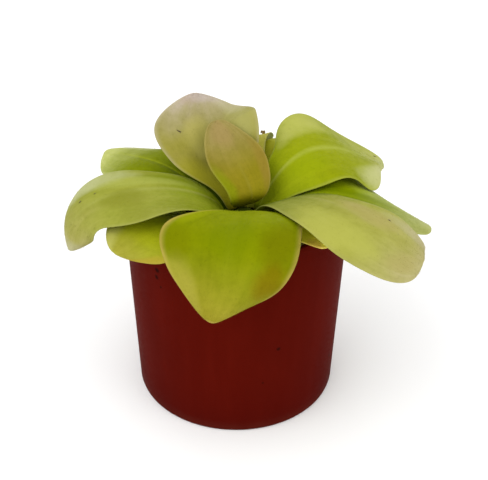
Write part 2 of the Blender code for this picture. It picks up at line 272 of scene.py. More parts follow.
pot_plastic, tree, shader = finish("pot_plastic", roughness=0.55, specular=0.006)
place = own_place(tree)
streaks = cloud(tree, place, (1.0, 1.0, 0.12), scale=120.0, detail=4.0, rough=0.6)
patches = cloud(tree, place, (1.0, 1.0, 0.6), scale=34.0, detail=3.0, rough=0.5)
scuffs = cloud(tree, place, (1.0, 1.0, 5.0), scale=420.0, detail=2.0, rough=0.7)
up_wall = parted(tree, place)[2]
skin = blend(tree, band(tree, streaks, 0.35, 0.68, 0.0, 0.4), paint(78, 11, 4), paint(88, 16, 7))
skin = blend(tree, band(tree, patches, 0.45, 0.75, 0.0, 0.6), skin, paint(73, 10, 4))
# Painted shade: the wall is darkened over its lowest 30 mm towards the floor, where less light reaches
# it
skin = blend(tree, band(tree, up_wall, 0.030, 0.0, 0.0, 0.5), skin, paint(70, 8, 4))
foot_dust = maths(tree, "MULTIPLY", band(tree, up_wall, 0.006, 0.0), streaks)
skin = blend(tree, maths(tree, "MULTIPLY", foot_dust, 0.2), skin, paint(110, 70, 56))
for compass, height, reach in SOIL_SPECKS:
    speck = tree.nodes.new("ShaderNodeVectorMath")
    speck.operation = "DISTANCE"
    tree.links.new(place, speck.inputs[0])
    side = math.radians(compass)
    speck.inputs[1].default_value = (
        pot_side(height) * math.cos(side), pot_side(height) * math.sin(side), height,
    )
    ragged = maths(tree, "ADD", speck.outputs["Value"], maths(tree, "MULTIPLY", scuffs, reach))
    dirt = band(tree, ragged, reach * 1.6, reach * 0.8, 0.0, 0.85)
    skin = blend(tree, dirt, skin, paint(30, 7, 4))
tree.links.new(skin, shader.inputs["Base Color"])
tree.links.new(band(tree, scuffs, 0.3, 0.8, 0.45, 0.65), shader.inputs["Roughness"])
worn = maths(tree, "ADD", scuffs, maths(tree, "MULTIPLY", streaks, 0.8))
relief(tree, shader, worn, 0.00005)

pot = placed("grower_pot", bm, [pot_plastic])
drain_cutters = []
for index in range(DRAIN_HOLES):
    angle = 2 * math.pi * index / DRAIN_HOLES
    bm = bmesh.new()
    bmesh.ops.create_cone(
        bm, cap_ends=True, segments=32, radius1=DRAIN_RADIUS, radius2=DRAIN_RADIUS, depth=DRAIN_CUT,
    )
    centre = (DRAIN_RING * math.cos(angle), DRAIN_RING * math.sin(angle), 0.0)
    bmesh.ops.translate(bm, verts=bm.verts, vec=centre)
    cutter = placed(f"drain_cutter_{index}", bm, [])
    hole = pot.modifiers.new("Drain", "BOOLEAN")
    hole.operation = "DIFFERENCE"
    hole.solver = "EXACT"
    hole.object = cutter
    drain_cutters.append(cutter)
graph = bpy.context.evaluated_depsgraph_get()
pot_mesh = bpy.data.meshes.new_from_object(pot.evaluated_get(graph))
pot.modifiers.clear()
pot.data = pot_mesh
for cutter in drain_cutters:
    bpy.data.objects.remove(cutter, do_unlink=True)
pot.data.set_sharp_from_angle(angle=math.radians(40))
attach(pot, "root")
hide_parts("pot")


# Potting mix: moist peat with perlite, filled to a thumb's width under the rim. Its top is
# lumpy and loose crumbs lie on it; the crown's root stub goes down into it
MIX_TOP, MIX_RISE, FIT_GAP = 0.0730, 0.0006, 0.0003
MIX_EDGE = pot_side(MIX_TOP) - POT_WALL - FIT_GAP
MIX_RINGS = 48
LUMP_HIGH, CRUMB_HIGH = 0.0005, 0.00022
# The crown's place, and how far round it the mix is flattened and kept free of crumbs
CROWN_X, CROWN_Y = 0.003, -0.003
CROWN_FLAT, CROWN_FREE = 0.016, 0.010
CRUMBS_WITHIN = 0.985


def mix_surface(x, y):
    """Height of the mix's lumpy top."""
    out = np.hypot(x, y) / MIX_EDGE
    clear = np.minimum(1.0, np.hypot(x - CROWN_X, y - CROWN_Y) / CROWN_FLAT)
    lumps = np.sin(x * 520 + 1.3 * np.sin(y * 310)) * np.cos(y * 470 + x * 190)
    crumbs = np.sin(x * 1900 + 2 * np.sin(y * 1300)) * np.sin(y * 2100 + 2 * np.cos(x * 1500))
    rough = (LUMP_HIGH * lumps + CRUMB_HIGH * crumbs) * clear * np.minimum(1.0, (1 - out) * 12)
    return MIX_TOP + MIX_RISE * (1 - out**2) + rough


foot = POT_FLOOR + POT_EDGE
bm = bmesh.new()
spun(
    bm,
    [
        *[
            (MIX_EDGE * ring / MIX_RINGS, MIX_TOP + MIX_RISE * (1 - (ring / MIX_RINGS) ** 2))
            for ring in range(MIX_RINGS + 1)
        ],
        (pot_side(foot) - POT_WALL - FIT_GAP, foot),
        (pot_side(0) - POT_WALL - FIT_GAP - POT_EDGE, POT_FLOOR + FIT_GAP),
        (0.0, POT_FLOOR + FIT_GAP),
    ],
    POT_ROUND,
)
for vertex in bm.verts:
    if vertex.co.z > MIX_TOP - 0.0001:
        vertex.co.z = float(mix_surface(vertex.co.x, vertex.co.y))

peat, tree, shader = finish("peat", roughness=0.95, specular=0.15)
place = own_place(tree)
clods = cloud(tree, place, EVEN, scale=240.0, detail=5.0, rough=0.65)
fibres = cloud(tree, place, (1.0, 0.35, 1.0), scale=900.0, detail=3.0, rough=0.7)
brown = blend(tree, band(tree, clods, 0.35, 0.65), paint(34, 22, 15), paint(78, 56, 38))
brown = blend(tree, band(tree, fibres, 0.60, 0.72, 0.0, 0.7), brown, paint(116, 88, 58))
tree.links.new(brown, shader.inputs["Base Color"])
relief(tree, shader, maths(tree, "ADD", clods, fibres), 0.0006)
mix = placed("peat_fill", bm, [peat])
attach(mix, "root")
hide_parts("potting_mix")


def scattered(name, template, spots, materials):
    """Copies one small bmesh to every spot (place, turn, size) and joins them in one piece."""
    mesh = bpy.data.meshes.new(name + "_one")
    template.to_mesh(mesh)
    template.free()
    corners = np.array([vertex.co for vertex in mesh.vertices])
    faces = [tuple(face.vertices) for face in mesh.polygons]
    bpy.data.meshes.remove(mesh)
    points, copies = [], []
    for place, turn, size in spots:
        shift = len(points) * len(corners)
        points.append(corners * size @ np.array(turn.to_3x3()).T + np.array(place))
        copies += [tuple(corner + shift for corner in face) for face in faces]
    mesh = bpy.data.meshes.new(name)
    mesh.from_pydata(np.concatenate(points).tolist(), [], copies)
    return dressed(name, mesh, materials)


def crumb_spots(seed, count, smallest, largest):
    """Places on the mix for loose crumbs, clear of the crown."""
    draw = random.Random(seed)
    spots = []
    while len(spots) < count:
        reach = MIX_EDGE * CRUMBS_WITHIN * math.sqrt(draw.random())
        angle = draw.uniform(0, 2 * math.pi)
        x, y = reach * math.cos(angle), reach * math.sin(angle)
        size = draw.uniform(smallest, largest)
        if math.hypot(x - CROWN_X, y - CROWN_Y) < CROWN_FREE or reach + size > MIX_EDGE:
            continue
        turn = Matrix.Rotation(draw.uniform(0, 6.28), 4, "Z")
        turn = turn @ Matrix.Rotation(draw.uniform(0, 6.28), 4, "X")
        spots.append(((x, y, float(mix_surface(x, y)) + size * 0.3), turn, size))
    return spots


perlite, tree, shader = finish("perlite", roughness=0.85, specular=0.3)
place = own_place(tree)
pores = cloud(tree, place, EVEN, scale=2200.0, detail=3.0, rough=0.6)
chalk = blend(tree, band(tree, pores, 0.4, 0.6), paint(176, 166, 150), paint(226, 222, 212))
tree.links.new(chalk, shader.inputs["Base Color"])
relief(tree, shader, pores, 0.0002)
bm = bmesh.new()
bmesh.ops.create_icosphere(bm, subdivisions=1, radius=1.0)
for index, vertex in enumerate(bm.verts):
    vertex.co *= 0.75 + 0.35 * abs(math.sin(index * 2.3))
grain_spots = crumb_spots(seed=5, count=150, smallest=0.0005, largest=0.0011)
grains = scattered("perlite_grains", bm, grain_spots, [perlite])
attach(grains, "root")

bark, tree, shader = finish("bark", roughness=0.9, specular=0.2)
place = own_place(tree)
rings = cloud(tree, place, (1.0, 0.2, 1.0), scale=1500.0, detail=3.0, rough=0.6)
corky = blend(tree, rings, paint(48, 30, 18), paint(112, 74, 44))
tree.links.new(corky, shader.inputs["Base Color"])
relief(tree, shader, rings, 0.0002)
bm = bmesh.new()
bmesh.ops.create_cube(bm, size=1.0)
bmesh.ops.scale(bm, verts=bm.verts, vec=(1.7, 0.8, 0.45))
bmesh.ops.bevel(
    bm, geom=bm.edges[:], offset=0.12, segments=1, affect="EDGES", profile=0.5, material=-1,
)
chip_spots = crumb_spots(seed=9, count=260, smallest=0.0007, largest=0.0017)
chips = scattered("bark_chips", bm, chip_spots, [bark])
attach(chips, "root")


# Crown: the short, fleshy stem under the rosette. Every leaf grows from it, older leaves have
# left scars round it, and its root stub goes down into the mix
CROWN_FOOT_Z, CROWN_FOOT, CROWN_TOP_Z, CROWN_TOP = 0.0754, 0.0080, 0.0806, 0.0030
CROWN_UNDER, STUB, STUB_LOW = 0.0743, 0.0036, 0.0570
CROWN_ROUND = 72
SCAR_DEEP, SCARS_ROUND = 0.035, 8

bm = bmesh.new()
spun(
    bm,
    [
        (0.0, CROWN_TOP_Z + 0.0006),
        (0.0008, CROWN_TOP_Z + 0.0005),
        (0.0016, CROWN_TOP_Z + 0.0004),
        (CROWN_TOP - FIT_GAP, CROWN_TOP_Z),
        (0.0041, 0.0791),
        (0.0055, 0.0778),
        (0.0068, 0.0765),
        (CROWN_FOOT, CROWN_FOOT_Z),
        (0.94 * CROWN_FOOT, CROWN_UNDER + FIT_GAP),
        (STUB, CROWN_UNDER),
        (STUB, STUB_LOW + STUB),
        (0.5 * STUB, STUB_LOW + 0.3 * STUB),
        (0.0, STUB_LOW),
    ],
    CROWN_ROUND,
)
for vertex in bm.verts:
    turn = math.atan2(vertex.co.y, vertex.co.x)
    if vertex.co.z > CROWN_UNDER + 0.0005:
        ridge = 1 - SCAR_DEEP * (1 + math.cos(SCARS_ROUND * turn + 900 * vertex.co.z)) / 2
        vertex.co.x *= ridge
        vertex.co.y *= ridge
    vertex.co.x += CROWN_X
    vertex.co.y += CROWN_Y

crown_flesh, tree, shader = finish("crown_flesh", roughness=0.5, specular=0.25)
place = own_place(tree)
scars = cloud(tree, place, (1.0, 1.0, 2.5), scale=700.0, detail=3.0, rough=0.6)
up_stem = parted(tree, place)[2]
flesh = blend(tree, band(tree, up_stem, 0.0735, 0.0800), paint(104, 84, 34), paint(88, 104, 22))
flesh = blend(tree, band(tree, scars, 0.5, 0.7, 0.0, 0.6), flesh, paint(60, 56, 18))
tree.links.new(flesh, shader.inputs["Base Color"])
relief(tree, shader, scars, 0.00025)
crown = placed("crown_stem", bm, [crown_flesh])
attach(crown, "root")
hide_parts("crown")


# Leaf tissue: how every blade of this plant is bent, and how its tissue looks. A blade is a
# midrib curve with two half-widths, rolled and curled; the tissue is a soft, greasy yellow
# green that darkens to the crown, with a pale rib, pale margins that are partly a painted
# sheen, and fine beads of glands
LEAF_CLEARANCE, BLADE, MARGIN_SHARE = 0.0004, 0.0012, 0.35
BLADE_ACROSS, BLADE_ALONG = 22, 46
BLADE_END, TIP_CROWDING = 0.9995, 0.6
GROOVE_DEEP, GROOVE_WIDE = 0.0003, 0.16
RIGHT_WAVE_LAG = 0.35
# A fold's line across the right half, its angle in degrees and where along the blade it leaves
NO_FOLD = (1.0, 0, 0.0)
FOLD_RUN = 0.25
GLAND_BEAD, GLAND_STALK, GLAND_SUNK = 0.00006, 0.0002, 0.00005


def eased(stations, t):
    """A smooth curve through evenly spaced values, from t = 0 to t = 1."""
    values = np.array((2 * stations[0] - stations[1], *stations, 2 * stations[-1] - stations[-2]), float)
    reach = t * (len(stations) - 1)
    index = np.minimum(reach.astype(int), len(stations) - 2)
    f = reach - index
    a, b, c, d = (values[index + step] for step in range(4))
    return b + 0.5 * f * (c - a + f * (2 * a - 5 * b + 4 * c - d + f * (3 * (b - c) + d - a)))


def unit(vectors):
    """The same directions, each with a length of one."""
    return vectors / np.linalg.norm(vectors, axis=-1, keepdims=True)


def blade_points(sizes, across, length):
    """Points of the blade's middle surface; across is -1 to 1, left positive, length 0 to 1."""
    tier, angle = sizes["tier"], math.radians(sizes["side"])
    reach = CROWN_FOOT + (CROWN_TOP - CROWN_FOOT) * tier + LEAF_CLEARANCE + BLADE / 2
    height = CROWN_FOOT_Z + (CROWN_TOP_Z - CROWN_FOOT_Z) * tier
    root = (CROWN_X + reach * math.cos(angle), CROWN_Y + reach * math.sin(angle), height)
    a, b, c, d = (np.array(point) for point in (root, sizes["rise"], sizes["fall"], sizes["tip"]))
    t = BLADE_END * (length + TIP_CROWDING * (np.sin(length * math.pi / 2) - length))
    k = t[:, None]
    midrib = (1 - k) ** 3 * a + 3 * (1 - k) ** 2 * k * b + 3 * (1 - k) * k**2 * c + k**3 * d
    along = unit((1 - k) ** 2 * (b - a) + 2 * (1 - k) * k * (c - b) + k**2 * (d - c))

    heading = d - a
    flat = unit(np.array([-heading[1], heading[0], 0.0]))
    side = unit(flat - (along @ flat)[:, None] * along)
    up = np.cross(along, side)
    roll = np.radians(eased(sizes["roll"], t))[:, None]
    side, up = side * np.cos(roll) + up * np.sin(roll), up * np.cos(roll) - side * np.sin(roll)

    on_left = across > 0
    half = np.where(on_left, eased(sizes["left"], t), eased(sizes["right"], t))
    half = half * np.sqrt(1 - t ** sizes["blunt"])
    curl = np.where(on_left, eased(sizes["curl_left"], t), eased(sizes["curl_right"], t))
    turn = np.radians(curl) * np.abs(across)
    out = half * across * np.sinc(turn / math.pi)
    lift = half * np.abs(across) * np.sin(turn / 2) * np.sinc(turn / 2 / math.pi)

    fold_line, fold_angle, fold_leaves = sizes.get("fold", NO_FOLD)
    crease = fold_line + (1 - fold_line) * np.clip((t - fold_leaves) / FOLD_RUN, 0, 1)
    flap = half * np.clip(-across - crease, 0, None)
    lean = math.radians(fold_angle) * np.clip(t / FOLD_RUN, 0, 1)
    out = out + flap * (1 - np.cos(lean))
    lift = lift + flap * np.sin(lean)

    high, count, phase = sizes["wave"]
    swing = np.sin(2 * math.pi * (count * t + phase + np.where(on_left, 0.0, RIGHT_WAVE_LAG)))
    lift = lift + high * across**2 * swing * np.sin(math.pi * t)
    lift = lift - GROOVE_DEEP * np.exp(-((across / GROOVE_WIDE) ** 2)) * np.sin(math.pi * t)
    return midrib + out[:, None] * side + lift[:, None] * up


def blade_ways(sizes, across, length):
    """Points of the middle surface, and there the ways to the tip, to the left and up."""
    step = 0.002
    here = blade_points(sizes, across, length)
    ahead = unit(blade_points(sizes, across, length + step) - here)
    left = unit(blade_points(sizes, across + step, length) - here)
    return here, ahead, left, unit(np.cross(ahead, left))


def skin_height(across):
    """How far the blade's skin lies from its middle surface; it thins to the margin."""
    return BLADE / 2 * (1 - (1 - MARGIN_SHARE) * across**2)


def new_group(name, inputs, outputs):
    """An empty shader group: (its tree, its input sockets, its output sockets)."""
    group = bpy.data.node_groups.new(name, "ShaderNodeTree")
    for label, kind, value in inputs:
        socket = group.interface.new_socket(label, in_out="INPUT", socket_type=kind)
        socket.default_value = value
    for label, kind in outputs:
        group.interface.new_socket(label, in_out="OUTPUT", socket_type=kind)
    ins = group.nodes.new("NodeGroupInput").outputs
    outs = group.nodes.new("NodeGroupOutput").inputs
    return group, ins, outs


# Tissue group: three tones from root to tip, mottled and streaked along the veins
green = (0.3, 0.4, 0.05, 1.0)
tissue, ins, outs = new_group(
    "LeafTissue",
    [
        ("Root", "NodeSocketColor", green),
        ("Middle", "NodeSocketColor", green),
        ("Tip", "NodeSocketColor", green),
        ("Rib", "NodeSocketColor", green),
        ("Rib share", "NodeSocketFloat", 0.4),
        ("Margin", "NodeSocketColor", green),
        ("Margin share", "NodeSocketFloat", 0.5),
    ],
    [("Colour", "NodeSocketColor"), ("Height", "NodeSocketFloat"), ("Dullness", "NodeSocketFloat")],
)
place = own_place(tissue)
spread = tissue.nodes.new("ShaderNodeTexCoord").outputs["UV"]
from_right, from_root, _ = parted(tissue, spread)
drift = maths(tissue, "SUBTRACT", cloud(tissue, place, EVEN, scale=55.0, detail=2.0), 0.5)
along = maths(tissue, "ADD", from_root, maths(tissue, "MULTIPLY", drift, 0.25))
off_rib = maths(tissue, "ABSOLUTE", maths(tissue, "SUBTRACT", from_right, 0.5))
tone = blend(tissue, band(tissue, along, 0.02, 0.42), ins["Root"], ins["Middle"])
tone = blend(tissue, band(tissue, along, 0.45, 1.0), tone, ins["Tip"])
patches = cloud(tissue, place, EVEN, scale=75.0, detail=3.0, rough=0.5)
mottle = cloud(tissue, place, EVEN, scale=420.0, detail=3.0, rough=0.6)
streaks = cloud(tissue, spread, (8.0, 0.9, 1.0), scale=1.0, detail=2.0, rough=0.5)
veins = cloud(tissue, spread, (34.0, 2.2, 1.0), scale=1.0, detail=2.0, rough=0.5)
for pattern, low, high, share, shade in (
    (patches, 0.42, 0.68, 0.65, (0.84, 0.84, 0.66, 1)),
    (mottle, 0.40, 0.70, 0.45, (0.86, 0.88, 0.78, 1)),
    (streaks, 0.45, 0.70, 0.6, (1.13, 1.10, 1.35, 1)),
    (veins, 0.45, 0.65, 0.3, (0.88, 0.90, 0.80, 1)),
):
    tone = blend(tissue, band(tissue, pattern, low, high, 0.0, share), tone, shade, "MULTIPLY")
rib_line = band(tissue, off_rib, 0.06, 0.0)
rib_fade = band(tissue, from_root, 0.92, 0.35)
rib = maths(tissue, "MULTIPLY", maths(tissue, "MULTIPLY", rib_line, rib_fade), ins["Rib share"])
tone = blend(tissue, rib, tone, ins["Rib"])
# The pale band along the margins and round the tip is partly the paler tissue there and partly a painted
# sheen, for the glands' fuzz catching light at the edge
side_rim = band(tissue, off_rib, 0.445, 0.5)
rim = maths(tissue, "MAXIMUM", side_rim, band(tissue, from_root, 0.95, 1.0))
tone = blend(tissue, maths(tissue, "MULTIPLY", rim, ins["Margin share"]), tone, ins["Margin"])
tissue.links.new(tone, outs["Colour"])
beads = tissue.nodes.new("ShaderNodeTexVoronoi")
beads.inputs["Scale"].default_value = 1500.0
tissue.links.new(place, beads.inputs["Vector"])
bead_height = band(tissue, beads.outputs["Distance"], 0.45, 0.05, 0.0, 0.5)
height = maths(tissue, "ADD", bead_height, maths(tissue, "MULTIPLY", veins, 1.5))
tissue.links.new(maths(tissue, "ADD", height, mottle), outs["Height"])
tissue.links.new(band(tissue, mottle, 0.3, 0.7, 0.38, 0.55), outs["Dullness"])

# Tint group: one soft-edged patch of another tone, placed by across and along
tint, ins, outs = new_group(
    "LeafTint",
    [
        ("Tone", "NodeSocketColor", green),
        ("Patch", "NodeSocketColor", green),
        ("Across", "NodeSocketFloat", 0.5),
        ("Along", "NodeSocketFloat", 0.5),
        ("Wide", "NodeSocketFloat", 0.3),
        ("Long", "NodeSocketFloat", 0.3),
        ("Share", "NodeSocketFloat", 1.0),
    ],
    [("Colour", "NodeSocketColor")],
)
spread = tint.nodes.new("ShaderNodeTexCoord").outputs["UV"]
from_right, from_root, _ = parted(tint, spread)
ragged = maths(tint, "SUBTRACT", cloud(tint, own_place(tint), EVEN, scale=120.0, detail=3.0), 0.5)
dx = maths(tint, "DIVIDE", maths(tint, "SUBTRACT", from_right, ins["Across"]), ins["Wide"])
dy = maths(tint, "DIVIDE", maths(tint, "SUBTRACT", from_root, ins["Along"]), ins["Long"])
far = maths(tint, "ADD", maths(tint, "MULTIPLY", dx, dx), maths(tint, "MULTIPLY", dy, dy))
far = maths(tint, "ADD", far, maths(tint, "MULTIPLY", ragged, 0.8))
share = maths(tint, "MULTIPLY", band(tint, far, 1.0, 0.0), ins["Share"])
tint.links.new(blend(tint, share, ins["Tone"], ins["Patch"]), outs["Colour"])

underside, tree, shader = finish("leaf_underside", roughness=0.5, specular=0.02)
place = own_place(tree)
haze = cloud(tree, place, EVEN, scale=150.0, detail=4.0)
pale = blend(tree, haze, paint(128, 138, 40), paint(150, 156, 66))
tree.links.new(pale, shader.inputs["Base Color"])
relief(tree, shader, cloud(tree, place, EVEN, scale=1200.0, detail=2.0), 0.0001)

# The sizes of each leaf as it grows, for what lies on the blades
grown = {}


def grow(node, sizes, tones, tints, glands):
    """Grows one leaf: its blade, bent and thickened, its tissue, and its stalked glands.

    The tones give the colours of root, middle, tip, rib and margin. Each tint gives its place
    across and along the blade, its width and length, its share and its colour.
    """
    grown[node] = sizes
    bm = bmesh.new()
    bmesh.ops.create_grid(bm, x_segments=BLADE_ACROSS, y_segments=BLADE_ALONG, size=1.0)
    flat = np.array([vertex.co for vertex in bm.verts])
    points = blade_points(sizes, -flat[:, 0], (flat[:, 1] + 1) / 2)
    spread = bm.loops.layers.uv.new("blade")
    for face in bm.faces:
        for corner in face.loops:
            corner[spread].uv = (0.5 - corner.vert.co.x / 2, (corner.vert.co.y + 1) / 2)
    for vertex, point in zip(bm.verts, points):
        vertex.co = point

    material, tree, shader = finish(node + "_tissue", roughness=0.45, specular=0.012)
    look = tree.nodes.new("ShaderNodeGroup")
    look.node_tree = tissue
    for label, tone in zip(("Root", "Middle", "Tip", "Rib", "Margin"), tones["colours"]):
        look.inputs[label].default_value = paint(*tone)
    look.inputs["Rib share"].default_value = tones["rib"]
    look.inputs["Margin share"].default_value = tones["margin"]
    colour = look.outputs["Colour"]
    for centre, reach, share, tone in tints:
        patch = tree.nodes.new("ShaderNodeGroup")
        patch.node_tree = tint
        tree.links.new(colour, patch.inputs["Tone"])
        patch.inputs["Patch"].default_value = paint(*tone)
        numbers = (*centre, *reach, share)
        for label, number in zip(("Across", "Along", "Wide", "Long", "Share"), numbers):
            patch.inputs[label].default_value = number
        colour = patch.outputs["Colour"]
    tree.links.new(colour, shader.inputs["Base Color"])
    tree.links.new(look.outputs["Dullness"], shader.inputs["Roughness"])
    relief(tree, shader, look.outputs["Height"], 0.00006)

    leaf = placed(node + "_blade", bm, [material, underside])
    body = leaf.vertex_groups.new(name="body")
    for index, across in enumerate(flat[:, 0]):
        body.add([index], 1 - across**2, "REPLACE")
    skin = leaf.modifiers.new("Thickness", "SOLIDIFY")
    skin.thickness = BLADE
    skin.offset = 0.0
    skin.use_even_offset = False
    skin.vertex_group = body.name
    skin.thickness_vertex_group = MARGIN_SHARE
    skin.material_offset = 1
    fine = leaf.modifiers.new("Fine", "SUBSURF")
    fine.levels = 1
    fine.render_levels = 1
    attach(leaf, "root")
    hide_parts(node)

    draw = np.random.default_rng(len(node) * 37 + glands)
    across = draw.uniform(-0.97, 0.97, glands)
    length = draw.uniform(0.06, 0.985, glands)
    here, _, _, normals = blade_ways(sizes, across, length)
    feet = here + normals * (skin_height(across) - GLAND_SUNK)[:, None]
    bm = bmesh.new()
    bmesh.ops.create_icosphere(bm, subdivisions=1, radius=GLAND_BEAD)
    bmesh.ops.translate(bm, verts=bm.verts, vec=(0, 0, GLAND_STALK + GLAND_BEAD / 3))
    bmesh.ops.create_cone(
        bm, cap_ends=True, segments=3, radius1=GLAND_BEAD / 2, radius2=GLAND_BEAD / 3,
        depth=GLAND_STALK, matrix=Matrix.Translation((0, 0, GLAND_STALK / 2)),
    )
    places = []
    for foot, normal, size in zip(feet, normals, draw.uniform(0.6, 1.2, glands)):
        places.append((foot, Vector(normal).to_track_quat("Z", "Y").to_matrix(), size))
    hairs = scattered(node + "_glands", bm, places, [material])
    spread = hairs.data.uv_layers.new(name="blade")
    corners = len(hairs.data.loops) // glands
    spots = np.stack([0.5 + across / 2, length], axis=1)
    spread.data.foreach_set("uv", np.repeat(spots, corners, axis=0).ravel().astype(np.float32))
    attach(hairs, "root")


# Lowest tier, left front: a broad leaf that lies on the rim under the left leaf. It is yellow
# green, with a tan lower edge where it has aged
grow(
    "leaf_left_low",
    sizes=dict(
        tier=0.0, side=218, blunt=8, wave=(0.0004, 2.0, 0.7),
        rise=(-0.011, -0.014, 0.082), fall=(-0.034, -0.028, 0.100), tip=(-0.044, -0.036, 0.082),
        left=(0.003, 0.011, 0.018, 0.022, 0.0195), right=(0.003, 0.009, 0.014, 0.0155, 0.015),
        roll=(0, 2, -8), curl_left=(0, -9, -32), curl_right=(0, -8, -14),
    ),
    tones=dict(
        colours=((126, 134, 4), (154, 162, 7), (151, 147, 52), (204, 204, 47), (171, 170, 76)),
        rib=0.3, margin=0.35,
    ),
    tints=[
        ((0.97, 0.82), (0.1, 0.28), 0.5, (176, 147, 54)),
        # Painted light: this paler lime patch lifts the shadow that the left leaf casts on this one
        ((0.5, 0.6), (0.4, 0.2), 0.5, (181, 186, 21)),
        ((0.15, 0.9), (0.35, 0.3), 0.6, (183, 181, 98)),
    ],
    glands=900,
)


# Lowest tier, right: a narrow-looking leaf that reaches furthest to the right. Only a bright
# green strip of it, with a pale edge, shows between its two neighbours
grow(
    "leaf_right",
    sizes=dict(
        tier=0.0, side=350, blunt=9, wave=(0.0004, 2.0, 0.3),
        rise=(0.024, -0.007, 0.100), fall=(0.045, -0.013, 0.094), tip=(0.074, -0.014, 0.080),
        left=(0.004, 0.011, 0.0185, 0.0185, 0.015), right=(0.004, 0.0095, 0.013, 0.014, 0.0155),
        roll=(0, -1, -15), curl_left=(0, -4, -28), curl_right=(0, -5, -14),
    ),
    tones=dict(
        colours=((101, 114, 1), (113, 129, 2), (167, 170, 104), (145, 155, 21), (172, 177, 108)),
        rib=0.3, margin=0.35,
    ),
    tints=[
        ((0.85, 0.75), (0.3, 0.4), 0.5, (172, 179, 97)),
        # Painted light: this brighter green patch lifts the shade under the frilled lower edge of the
        # upper right leaf
        ((0.86, 0.44), (0.3, 0.2), 0.6, (155, 170, 6)),
    ],
    glands=900,
)


# Lowest tier, back left: one of the leaves that lie flat over the rim at the back
# of the rosette, in even green
grow(
    "leaf_back_left",
    sizes=dict(
        tier=0.0, side=120, blunt=6, wave=(0.0004, 2.0, 0.8),
        rise=(-0.007, 0.014, 0.090), fall=(-0.018, 0.036, 0.095), tip=(-0.025, 0.052, 0.080),
        left=(0.004, 0.012, 0.016, 0.016, 0.013), right=(0.004, 0.012, 0.016, 0.016, 0.013),
        roll=(0, 0, 0), curl_left=(0, -6, -8), curl_right=(0, -6, -8),
    ),
    tones=dict(
        colours=((102, 115, 11), (126, 140, 18), (165, 172, 62), (163, 170, 66), (169, 176, 73)),
        rib=0.35, margin=0.3,
    ),
    tints=[
        ((0.3, 0.55), (0.3, 0.25), 0.4, (114, 128, 9)),
    ],
    glands=900,
)


# Lowest tier, right front: a small old leaf caught between the front leaf and the large right
# one. It has turned yellow brown at its edge
grow(
    "leaf_right_low",
    sizes=dict(
        tier=0.0, side=300, blunt=6, wave=(0.0004, 2.0, 0.8),
        rise=(0.006, -0.010, 0.082), fall=(0.030, -0.033, 0.096), tip=(0.030, -0.044, 0.090),
        left=(0.002, 0.0025, 0.005, 0.007, 0.0085), right=(0.0025, 0.005, 0.007, 0.008, 0.0085),
        roll=(0, 1, 0), curl_left=(-1, -8, -10), curl_right=(-1, -8, -8),
    ),
    tones=dict(
        # Painted light: these tones are painted much paler and yellower than the leaf's own colour,
        # lifting the deep shade it lies in between its neighbours
        colours=((150, 146, 24), (228, 221, 66), (241, 221, 87), (241, 231, 87), (228, 205, 125)),
        rib=0.2, margin=0.4,
    ),
    tints=[
        ((0.2, 0.95), (0.4, 0.2), 0.6, (199, 154, 72)),
    ],
    glands=500,
)


# Second tier, left back: a flat leaf whose tip shows above the left leaf. It is lime at the
# tip and dark green towards the crown
grow(
    "leaf_left_back",
    sizes=dict(
        tier=0.15, side=160, blunt=10, wave=(0.0004, 2.0, 0.8),
        rise=(-0.026, 0.007, 0.100), fall=(-0.036, 0.012, 0.094), tip=(-0.056, 0.042, 0.082),
        left=(0.004, 0.0065, 0.010, 0.014, 0.0115), right=(0.004, 0.009, 0.0125, 0.012, 0.0135),
        roll=(0, 6, -13), curl_left=(0, -11, -38), curl_right=(0, 12, -48),
    ),
    tones=dict(
        colours=((76, 96, 0), (120, 131, 3), (184, 189, 107), (182, 189, 32), (200, 202, 140)),
        rib=0.3, margin=0.3,
    ),
    tints=[
        ((0.1, 0.9), (0.25, 0.35), 0.5, (211, 211, 177)),
    ],
    glands=900,
)


# Second tier, back right: the match of the back left leaf on the other side, hidden from the
# front by the upper right leaf
grow(
    "leaf_back_right",
    sizes=dict(
        tier=0.1, side=55, blunt=6, wave=(0.0004, 2.0, 1.0),
        rise=(0.014, 0.012, 0.091), fall=(0.028, 0.036, 0.095), tip=(0.037, 0.053, 0.079),
        left=(0.004, 0.011, 0.016, 0.016, 0.013), right=(0.004, 0.0115, 0.016, 0.016, 0.013),
        roll=(0, 1, 0), curl_left=(0, -5, -8), curl_right=(0, -6, -8),
    ),
    tones=dict(
        colours=((142, 145, 28), (167, 168, 28), (204, 206, 110), (190, 191, 79), (218, 223, 129)),
        rib=0.35, margin=0.3,
    ),
    tints=[
        ((0.86, 0.42), (0.3, 0.25), 0.5, (173, 174, 33)),
    ],
    glands=900,
)


# Third tier, left: a large pale leaf that arches outwards, with a blunt tip hanging below the
# rim. Pale streaks follow its rib, and its outer half is almost cream at the edge
grow(
    "leaf_left",
    sizes=dict(
        tier=0.4, side=188, blunt=14, wave=(0.0004, 3.0, 0.2),
        rise=(-0.008, -0.006, 0.100), fall=(-0.068, -0.020, 0.103), tip=(-0.062, -0.024, 0.075),
        left=(0.004, 0.0205, 0.027, 0.012, 0.0145), right=(0.003, 0.009, 0.0135, 0.0205, 0.0255),
        roll=(-6, -2, -10), curl_left=(-1, 20, -107), curl_right=(1, 5, -74),
    ),
    tones=dict(
        colours=((125, 140, 3), (142, 146, 54), (158, 153, 88), (156, 159, 79), (167, 169, 104)),
        rib=0.45, margin=0.22,
    ),
    tints=[
        ((0.12, 0.62), (0.22, 0.3), 0.75, (177, 180, 129)),
        ((0.22, 0.27), (0.16, 0.14), 0.7, (112, 124, 6)),
        ((0.6, 0.46), (0.18, 0.12), 0.7, (124, 127, 36)),
        ((0.29, 0.36), (0.14, 0.22), 0.45, (167, 172, 84)),
        ((0.45, 1.0), (0.6, 0.16), 0.45, (179, 177, 153)),
    ],
    glands=1300,
)


